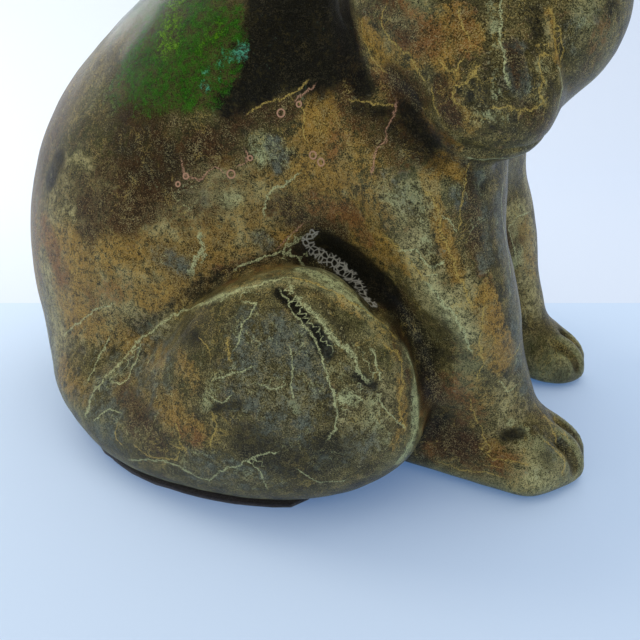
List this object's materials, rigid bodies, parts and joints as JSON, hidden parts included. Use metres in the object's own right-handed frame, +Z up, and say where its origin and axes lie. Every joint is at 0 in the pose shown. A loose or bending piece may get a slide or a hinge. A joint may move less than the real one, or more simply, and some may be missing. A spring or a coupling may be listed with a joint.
{
  "type": "bear sculpture",
  "caption": "Seated raku pottery bear with a bowed, turned head, rounded haunches and upright front legs, resting on a felt pad under its rump",
  "frame": {"origin": "centre of the bottom of the bounding box, on the surface the bear stands on", "axes": "+X is where the bear's body and front paws point, +Y is its left side, +Z is up; its head is turned towards -Y"},
  "size_m": [0.3898, 0.3318, 0.3199],
  "materials": {
    "raku_glaze": "stands for raku pottery: mottled olive, rust, ochre and black copper patina with a green gloss on the back",
    "felt": "dark brown felt, cut by hand"
  },
  "bodies": {
    "root": {"bear": "raku_glaze", "felt_pad": "felt"}
  },
  "joints": []
}
